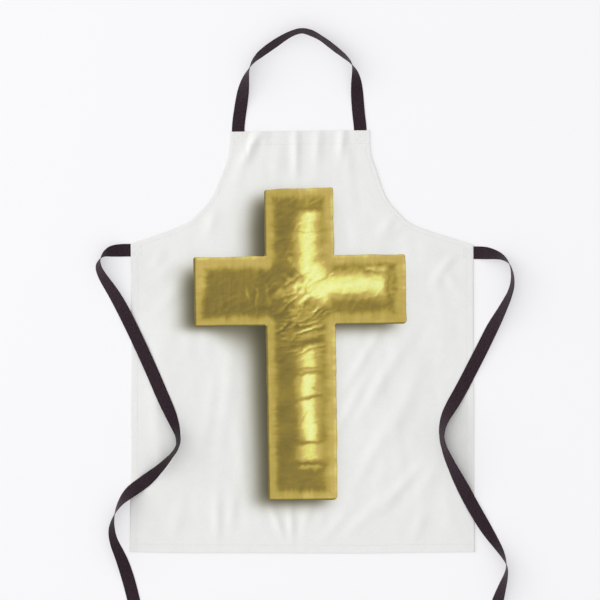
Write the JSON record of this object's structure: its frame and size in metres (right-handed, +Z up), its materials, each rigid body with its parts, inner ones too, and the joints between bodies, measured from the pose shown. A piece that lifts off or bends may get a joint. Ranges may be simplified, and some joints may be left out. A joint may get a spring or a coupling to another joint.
{
  "type": "bib apron",
  "caption": "White canvas bib apron laid out flat, with folded and stitched hems, a dark webbing neck strap, two loose webbing waist ties and a printed gold Latin cross on the front.",
  "frame": {"origin": "on the resting plane, under the middle of the apron's bounding box with its neck strap and without its waist ties", "axes": "+Y from the bottom hem towards the neck strap, +X to the right as the front is seen, +Z up out of the printed front"},
  "size_m": [0.8327, 1.248, 0.0269],
  "materials": {
    "canvas": "plain-woven cotton canvas, optic white, matte, softly creased",
    "webbing": "herringbone polypropylene webbing, aubergine black, faint sheen",
    "thread": "spun polyester sewing thread, white",
    "gold_print": "dye-printed picture of crumpled gold foil on the canvas weave"
  },
  "bodies": {
    "apron": {"front_panel": "canvas", "top_hem_fold": "canvas", "bottom_hem_fold": "canvas", "side_hem_fold_left": "canvas", "side_hem_fold_right": "canvas", "armhole_hem_fold_left": "canvas", "armhole_hem_fold_right": "canvas", "neck_strap_end_left": "webbing", "neck_strap_end_right": "webbing", "waist_tie_left": "webbing", "waist_tie_right": "webbing", "waist_tie_end_left": "webbing", "waist_tie_end_right": "webbing", "tie_tip_left": "webbing", "tie_tip_right": "webbing", "top_hem_stitching": "thread", "bottom_hem_stitching": "thread", "side_hem_stitching_left": "thread", "side_hem_stitching_right": "thread", "armhole_stitching_left": "thread", "armhole_stitching_right": "thread", "neck_tack_left": "thread", "neck_tack_right": "thread", "tie_tack_left": "thread", "tie_tack_right": "thread", "cross_print": "gold_print"},
    "neck_loop": {"neck_strap": "webbing"}
  },
  "joints": [
    {"name": "neck_loop_fold", "type": "hinge", "parent": "apron", "child": "neck_loop", "pos_m": [0, 0.31662, 0.0018], "axis": [1, 0, 0], "range_deg": [0, 165]}
  ]
}
